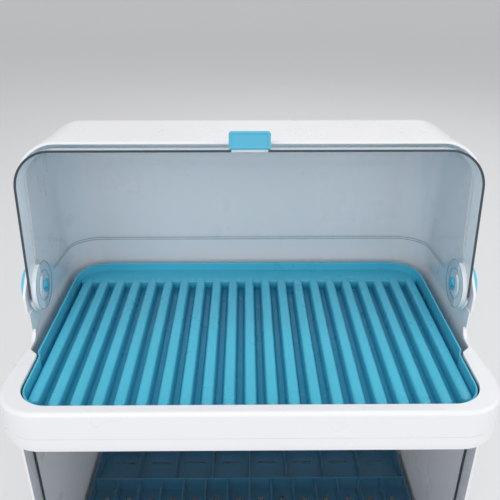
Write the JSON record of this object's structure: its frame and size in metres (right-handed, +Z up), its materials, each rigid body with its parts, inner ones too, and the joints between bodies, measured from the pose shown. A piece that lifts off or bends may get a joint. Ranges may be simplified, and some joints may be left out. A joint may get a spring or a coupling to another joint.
{
  "type": "covered dish drainer",
  "caption": "Two-tier covered dish drainer with a ribbed tray under a clear swing lid and a plate rack behind a clear flap.",
  "frame": {"origin": "on the surface it stands on, under the middle of the whole part", "axes": "+Z up, +Y to the back, front faces -Y, +X to the right seen from the front"},
  "size_m": [0.4654, 0.305, 0.5589],
  "materials": {
    "white": "satin moulded plastic",
    "blue": "satin moulded plastic",
    "light_blue": "gloss moulded plastic",
    "clear": "clear moulded plastic",
    "rubber": "soft rubber"
  },
  "bodies": {
    "cabinet": {"foot_pads": "rubber", "lower_base": "white", "lower_housing": "white", "upper_base": "white", "upper_hood": "white", "hinge_cap_left": "light_blue", "hinge_cap_right": "light_blue", "hinge_hub_left": "light_blue", "hinge_hub_right": "light_blue", "door_pins": "light_blue"},
    "tray": {"upper_tray": "blue"},
    "rack": {"rack_pan": "blue", "rack_cross_wall": "blue", "rack_front_fins": "blue", "rack_rear_fins": "blue"},
    "lid": {"upper_lid": "clear", "lid_handle": "light_blue"},
    "door": {"lower_door": "clear", "door_handle": "light_blue"}
  },
  "joints": [
    {"name": "lid_hinge", "type": "hinge", "parent": "cabinet", "child": "lid", "pos_m": [0, 0.005, 0.393], "axis": [1, 0, 0], "range_deg": [0, 101.5]},
    {"name": "door_hinge", "type": "hinge", "parent": "cabinet", "child": "door", "pos_m": [0, -0.0945, 0.268], "axis": [-1, 0, 0], "range_deg": [0, 85]},
    {"name": "tray_lift", "type": "slide", "parent": "cabinet", "child": "tray", "axis": [0, 0, 1], "range_m": [0, 0.012]},
    {"name": "rack_lift", "type": "slide", "parent": "cabinet", "child": "rack", "axis": [0, 0, 1], "range_m": [0, 0.012]}
  ]
}
